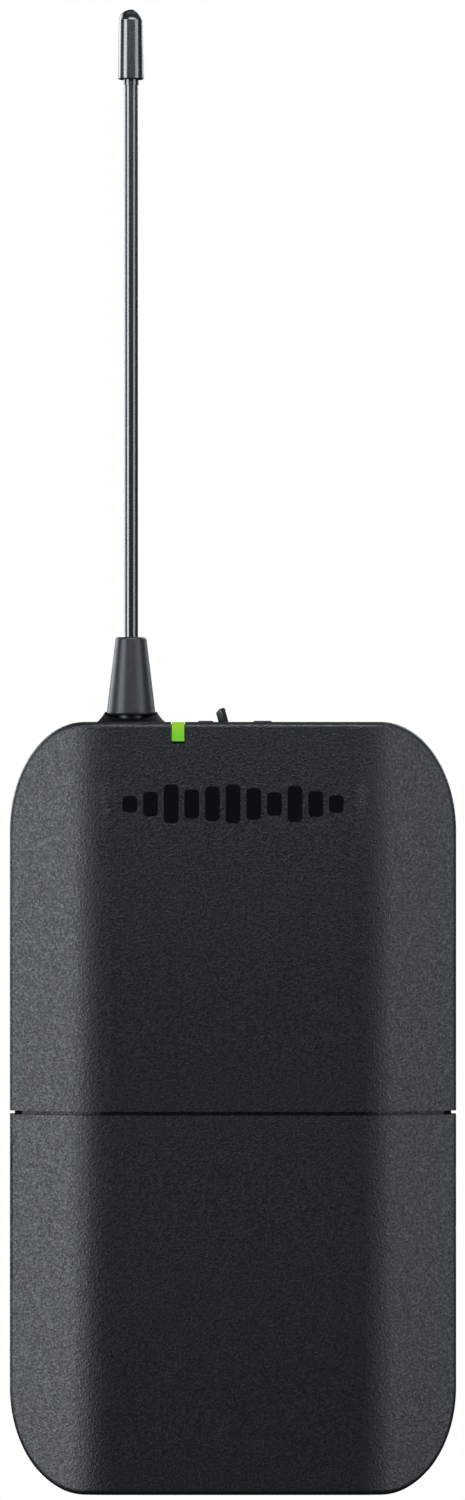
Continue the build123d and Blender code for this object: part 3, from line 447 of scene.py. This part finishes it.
finish_piece(bars_mesh("panel_marks", marks), pad_print, "root", "panel_black")


# Power toggle: a ridged paddle in black nylon with a slight sheen, on two trunnions in a switch body
# soldered to the control board.
glossy_nylon, tree = new_material("glossy_nylon")
flow = grain(tree, 0.8 * mm, 2.0)
surface(tree, {"Base Color": tint(tree, flow, "141517", "1E1F22"),
               "Roughness": between(tree, flow, 0.2, 0.32)}, bumped(tree, flow, 0.02 * mm))
dress(glossy_nylon, "power_switch_lever", "tact_plunger")
switch_pbt, tree = new_material("switch_pbt")
glassy = grain(tree, 0.3 * mm, 3.0)
surface(tree, {"Base Color": tint(tree, glassy, "1C1D1F", "292B2D"),
               "Roughness": between(tree, glassy, 0.4, 0.55)}, bumped(tree, glassy, 0.015 * mm))
dress(switch_pbt, "power_switch_body", "channel_tact_switch")


# Status light: a green acrylic light pipe over an LED in milky epoxy. It glows a little unevenly, green
# near its foot and yellower towards its top.
lit_acrylic, tree = new_material("lit_acrylic")
place = add(tree, "SeparateXYZ", {"Vector": add(tree, "TexCoord").outputs["Object"]})
glow_low, glow_high = 108.4 * mm, 109.9 * mm
rise = between(tree, place.outputs["Z"], 0.0, 1.0, glow_low, glow_high)
cloud = grain(tree, 0.6 * mm, 2.0)
glow = tint(tree, rise, "72C236", "93C82E")
surface(tree, {"Base Color": tint(tree, cloud, "1C320C", "264212"),
               "Roughness": between(tree, cloud, 0.4, 0.5),
               "Specular IOR Level": 0.08, "Emission Color": glow,
               "Emission Strength": between(tree, cloud, 0.82, 0.98)})
dress(lit_acrylic, "status_light_pipe")
led_epoxy, tree = new_material("led_epoxy")
milky = grain(tree, 0.4 * mm)
surface(tree, {"Base Color": tint(tree, milky, "D8E6CC", "EAF2E2"),
               "Roughness": between(tree, milky, 0.3, 0.4),
               "Emission Color": linear("9CE85A"), "Emission Strength": 1.2})
dress(led_epoxy, "status_led")


# Channel display: a seven-segment LED digit behind a smoked acrylic window. Its face is masked in dull
# black, and five of its segments are lit.
smoked_acrylic, tree = new_material("smoked_acrylic")
polish = grain(tree, 4 * mm)
surface(tree, {"Base Color": tint(tree, polish, "4A4542", "5A5450"),
               "Roughness": between(tree, polish, 0.03, 0.08),
               "Transmission Weight": 0.92, "IOR": 1.49}, bumped(tree, grain(tree, 0.5 * mm), 0.002 * mm))
dress(smoked_acrylic, "display_window")
display_mask, tree = new_material("display_mask")
matte = grain(tree, 0.15 * mm)
surface(tree, {"Base Color": tint(tree, matte, "0C0C0D", "151517"),
               "Roughness": between(tree, matte, 0.5, 0.65)}, bumped(tree, matte, 0.006 * mm))
dress(display_mask, "digit_display")
lit_segment, tree = new_material("lit_segment")
hot = grain(tree, 0.4 * mm)
surface(tree, {"Base Color": tint(tree, hot, "B0241A", "C83222"), "Roughness": 0.35,
               "Emission Color": linear("FF3A20"), "Emission Strength": between(tree, hot, 2.2, 3.0)})
unlit_segment, tree = new_material("unlit_segment")
cold = grain(tree, 0.4 * mm)
surface(tree, {"Base Color": tint(tree, cold, "3B2A28", "463331"),
               "Roughness": between(tree, cold, 0.3, 0.4)})
low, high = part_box("digit_display")
digit_x, digit_y = (low.x + high.x) / 2, (low.y + high.y) / 2
tall, broad, gap, half_segment = 1.75 * mm, 1.05 * mm, 0.2 * mm, 0.17 * mm
segment_film = ((0, 0, 1), 0.05 * mm, 0.14 * mm)
upright = [((sx * broad, sy * tall / 2), (0, 1, 0), (1, 0, 0), tall / 2 - gap)
           for sx, sy in ((-1, 1), (1, 1), (-1, -1), (1, -1))]
level = [((0, sy * tall), (1, 0, 0), (0, 1, 0), broad - gap) for sy in (1, 0, -1)]
segments = [((digit_x + x, digit_y + y, high.z), along, across, half, half_segment, *segment_film)
            for (x, y), along, across, half in upright + level]
lit, unlit = [segments[k] for k in (1, 3, 4, 5, 6)], [segments[k] for k in (0, 2)]
finish_piece(bars_mesh("digit_lit", lit), lit_segment, "root", "display_dark")
finish_piece(bars_mesh("digit_unlit", unlit), unlit_segment, "root", "display_dark")


# Channel button and gain trimmer: a grey acetal cap over a tact switch, and a white nylon dial with a
# screwdriver slot on a small blue potentiometer.
button_acetal, tree = new_material("button_acetal")
waxy = grain(tree, 0.5 * mm, 3.0)
surface(tree, {"Base Color": tint(tree, waxy, "5B5F63", "6A6E72"),
               "Roughness": between(tree, waxy, 0.32, 0.45),
               "Subsurface Weight": 0.05, "Subsurface Radius": (0.4 * mm,) * 3},
        bumped(tree, waxy, 0.012 * mm))
dress(button_acetal, "channel_button")
dial_nylon, tree = new_material("dial_nylon")
chalky = grain(tree, 0.4 * mm, 3.0)
surface(tree, {"Base Color": tint(tree, chalky, "C8C7C0", "DCDBD5"),
               "Roughness": between(tree, chalky, 0.35, 0.5)}, bumped(tree, chalky, 0.01 * mm))
dress(dial_nylon, "gain_trimmer_dial")
pot_body, tree = new_material("pot_body")
moulded = grain(tree, 0.5 * mm)
surface(tree, {"Base Color": tint(tree, moulded, "1D3F84", "27509C"),
               "Roughness": between(tree, moulded, 0.35, 0.5)}, bumped(tree, moulded, 0.01 * mm))
dress(pot_body, "gain_pot_body")


# Microphone socket: a turned brass shell under bright nickel, held by a ring nut. Four gold-plated pins
# stand in a black glass-filled insert.
turned_nickel, tree = new_material("turned_nickel")
tool_marks = grain(tree, 0.10 * mm, 2.0, (30, 30, 1))
surface(tree, {"Base Color": tint(tree, tool_marks, "A8A59E", "C4C1BA"), "Metallic": 1.0,
               "Roughness": between(tree, tool_marks, 0.2, 0.34)}, bumped(tree, tool_marks, 0.004 * mm))
dress(turned_nickel, "connector_shell", "connector_nut")
dress(switch_pbt, "connector_insert")
gold_flash, tree = new_material("gold_flash")
film = grain(tree, 0.3 * mm)
surface(tree, {"Base Color": tint(tree, film, "C99B3F", "E0B55A"), "Metallic": 1.0,
               "Roughness": between(tree, film, 0.16, 0.28)}, bumped(tree, film, 0.002 * mm))
dress(gold_flash, "connector_pins", "antenna_ferrule")


# Antenna: a steel whip under a glossy black jacket, with a moulded tip. Its rubber boot tapers up from a
# flared collar, so the base can flex.
whip_jacket, tree = new_material("whip_jacket")
drawn = grain(tree, 0.8 * mm, 1.0, (1, 1, 12))
surface(tree, {"Base Color": tint(tree, drawn, "17181A", "222426"),
               "Roughness": between(tree, drawn, 0.24, 0.3),
               "Coat Weight": 1.0, "Coat Roughness": between(tree, drawn, 0.14, 0.2), "Coat IOR": 1.7})
dress(whip_jacket, "antenna_whip", "antenna_tip_cap")
boot_rubber, tree = new_material("boot_rubber")
blush = grain(tree, 0.9 * mm, 4.0)
surface(tree, {"Base Color": tint(tree, blush, "1C1D20", "2A2C2F"),
               "Roughness": between(tree, blush, 0.3, 0.42)}, bumped(tree, blush, 0.02 * mm))
dress(boot_rubber, "antenna_boot")
# Antenna collar: its near-black colour and very weak sheen are painted shade. It is darker than the other
# black plastics to stand for the shadow that falls on it under the boot's rim.
collar_shade_abs, tree = new_material("collar_shade_abs")
shade_grain = grain(tree, 0.3 * mm, 3.0)
surface(tree, {"Base Color": tint(tree, shade_grain, "040405", "09090A"),
               "Roughness": between(tree, shade_grain, 0.6, 0.75),
               "Specular IOR Level": 0.06}, bumped(tree, shade_grain, 0.02 * mm))
dress(collar_shade_abs, "antenna_collar")


# Level bars: a row of rounded bars pad-printed in gloss black high on the front cover, as a plain sign
# for sound. The print follows the crown of the cover.
gloss_print, tree = new_material("gloss_black_print")
edge_wear = grain(tree, 0.25 * mm, 3.0)
surface(tree, {"Base Color": tint(tree, edge_wear, "020203", "060607"),
               "Roughness": between(tree, edge_wear, 0.3, 0.42), "Specular IOR Level": 0.15})
low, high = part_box("front_cover")
crown_radius = 1100 * mm
print_z = 98.8 * mm
fall = (print_z - (low.z + high.z) / 2) / crown_radius
print_y = low.y + crown_radius * fall ** 2 / 2
bar_heights = (2.4, 3.6, 5.6, 4.2, 5.0, 5.6, 4.6, 3.4, 5.2, 3.8, 2.6)
bar_pitch, half_bar, bar_corner = 2.95 * mm, 1.1 * mm, 0.7 * mm
ink_build, ink_sink = 0.045 * mm, 0.01 * mm
bars = [(((k - len(bar_heights) // 2) * bar_pitch, print_y + ink_sink, print_z), (0, fall, 1), (1, 0, 0),
         height / 2 * mm, half_bar, (0, -1, 0), ink_build, bar_corner)
        for k, height in enumerate(bar_heights)]
finish_piece(bars_mesh("level_bars", bars), gloss_print, "root", "housing")


# Door fittings: a foam pad glued inside the door steadies the cells, and two acetal latches with
# finger grooves are pushed outwards by small coil springs.
closed_foam, tree = new_material("closed_foam")
bubbles = grain(tree, 0.45 * mm, 4.0)
surface(tree, {"Base Color": tint(tree, bubbles, "3A3C3E", "5A5C5E"), "Roughness": 0.95,
               "Sheen Weight": between(tree, bubbles, 0.1, 0.3)}, bumped(tree, bubbles, 0.25 * mm))
dress(closed_foam, "door_pad")
latch_acetal, tree = new_material("latch_acetal")
drag = grain(tree, 0.3 * mm, 3.0)
surface(tree, {"Base Color": tint(tree, drag, "121315", "1B1C1E"),
               "Roughness": between(tree, drag, 0.3, 0.42)}, bumped(tree, drag, 0.02 * mm))
dress(latch_acetal, "door_latch_left", "door_latch_right")
latch_travel, thin, latch_coil_radius, latch_coil_turns = 0.9 * mm, 0.13 * mm, 0.95 * mm, 7
for word, side in (("left", -1), ("right", 1)):
    low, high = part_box(f"latch_spring_{word}")
    y, z = (low.y + high.y) / 2, (low.z + high.z) / 2
    seat, free = (low.x, high.x) if side > 0 else (high.x, low.x)
    spring = coil(f"latch_coil_{word}", (seat + side * thin, y, z), (free - side * thin, y, z),
                  latch_coil_radius, latch_coil_radius, latch_coil_turns, thin)
    finish_piece(spring, nickel_plate, "door", "spring_nickel", f"latch_spring_{word}")
    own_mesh(spring)


# Screws: black zinc-plated steel with cross recesses. Four close the housing from the rear, and six
# small ones hold the boards.
black_zinc, tree = new_material("black_zinc")
passivate = grain(tree, 0.4 * mm, 3.0)
surface(tree, {"Base Color": tint(tree, passivate, "1B1C20", "303238"), "Metallic": 0.9,
               "Roughness": between(tree, passivate, 0.3, 0.48)}, bumped(tree, passivate, 0.008 * mm))
dress(black_zinc, "housing_screws", "board_screws")


# Belt clip: one length of hard spring wire, bent on a former and blackened, its ends sprung into the
# lugs on the rear case. The oxide is uneven and very finely pitted.
blackened_wire, tree = new_material("blackened_wire")
oxide = grain(tree, 1.2 * mm, 4.0)
pitting = grain(tree, 0.3 * mm, 2.0)
surface(tree, {"Base Color": tint(tree, oxide, "26282B", "3C3F43"), "Metallic": 0.85,
               "Roughness": between(tree, oxide, 0.26, 0.42)}, bumped(tree, pitting, 0.006 * mm))
dress(blackened_wire, "belt_clip")


# Rear label: brushed silver polyester film in a shallow recess, printed in black with a ruled frame of
# empty fields in four rows, the lower two split by an upright rule.
label_film, tree = new_material("label_film")
brushed = grain(tree, 0.15 * mm, 2.0, (30, 1, 1))
surface(tree, {"Base Color": tint(tree, brushed, "8F9294", "A4A7A9"), "Metallic": 0.35,
               "Roughness": between(tree, brushed, 0.38, 0.5)}, bumped(tree, brushed, 0.003 * mm))
dress(label_film, "rear_label")
label_ink, tree = new_material("label_ink")
blot = grain(tree, 0.3 * mm)
surface(tree, {"Base Color": tint(tree, blot, "141516", "1E1F20"),
               "Roughness": between(tree, blot, 0.4, 0.5)})
low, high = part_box("rear_label")
label_middle = (low.z + high.z) / 2
film_y = high.y - 0.005 * mm
ink_film = ((0, 1, 0), 0.02 * mm, 0.04 * mm)
half_line, margin, row, divider_x, divider_gap = 0.09 * mm, 1.2 * mm, 6 * mm, 3 * mm, 0.3 * mm
half_w, half_h = (high.x - low.x) / 2 - margin, (high.z - low.z) / 2 - margin
rules = [((0, film_y, label_middle + dz), (1, 0, 0), (0, 0, 1), half_w, half_line, *ink_film)
         for dz in (half_h, half_h - row, 0, row - half_h, -half_h)]
rules += [((sx * half_w, film_y, label_middle), (0, 0, 1), (1, 0, 0), half_h, half_line, *ink_film)
          for sx in (-1, 1)]
rules += [((divider_x, film_y, label_middle - half_h / 2 - divider_gap), (0, 0, 1), (1, 0, 0),
           half_h / 2 - divider_gap, half_line, *ink_film)]
finish_piece(bars_mesh("label_fields", rules), label_ink, "root", "label_film")
